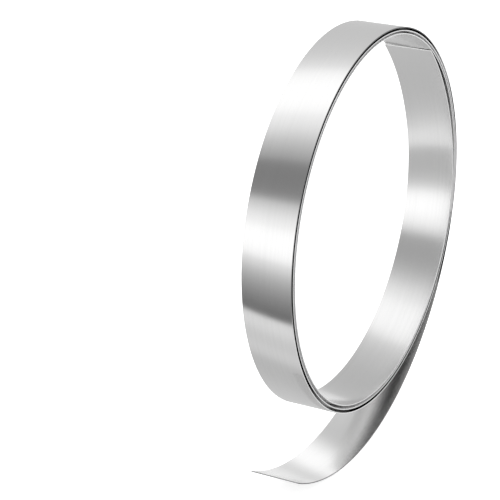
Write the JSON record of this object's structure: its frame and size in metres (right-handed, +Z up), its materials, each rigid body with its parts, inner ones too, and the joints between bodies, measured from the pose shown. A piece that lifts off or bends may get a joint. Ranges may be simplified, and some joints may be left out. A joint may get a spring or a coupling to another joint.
{
  "type": "coil of stainless steel strip",
  "caption": "Open coil of flat stainless steel strip stock, wound a little over three turns, its outer end sweeping free below.",
  "frame": {"origin": "centre of the coil's bore, half-way across the strip", "axes": "+Y along the coil's axis, from the front edge ring to the rear edge ring; +Z up as it stands in use, with the free outer end sweeping away below; +X to the right in the front view, looking along +Y"},
  "size_m": [0.3771, 0.05, 0.4206],
  "materials": {
    "strip_steel": "satin cold rolled, with bright slit edges"
  },
  "bodies": {
    "coil": {"inner_lap": "strip_steel", "middle_lap": "strip_steel", "outer_lap": "strip_steel"},
    "inner_end": {"inner_end": "strip_steel"},
    "tail_upper": {"tail_upper": "strip_steel"},
    "tail_middle": {"tail_middle": "strip_steel"},
    "tail_tip": {"tail_tip": "strip_steel"}
  },
  "joints": [
    {"name": "inner_flex", "type": "hinge", "parent": "coil", "child": "inner_end", "pos_m": [0.17145, 0, 0.03914], "axis": [0, -1, 0], "range_deg": [0, 15], "stiffness_Nm_per_rad": 6.8, "springref_deg": -0.11},
    {"name": "tail_flex_1", "type": "hinge", "parent": "coil", "child": "tail_upper", "pos_m": [0.13812, 0, -0.13897], "axis": [0, -1, 0], "range_deg": [-6, 20], "stiffness_Nm_per_rad": 7.3, "springref_deg": -1.52},
    {"name": "tail_flex_2", "type": "hinge", "parent": "tail_upper", "child": "tail_middle", "pos_m": [0.04983, 0, -0.20945], "axis": [0, -1, 0], "range_deg": [-6, 20], "stiffness_Nm_per_rad": 7.3, "springref_deg": -0.77},
    {"name": "tail_flex_3", "type": "hinge", "parent": "tail_middle", "child": "tail_tip", "pos_m": [-0.06074, 0, -0.2326], "axis": [0, -1, 0], "range_deg": [-6, 20], "stiffness_Nm_per_rad": 7.3, "springref_deg": -0.19}
  ],
  "couplings": [
    {"joint": "tail_flex_2", "follows": "tail_flex_1", "ratio": 1},
    {"joint": "tail_flex_3", "follows": "tail_flex_1", "ratio": 1}
  ]
}
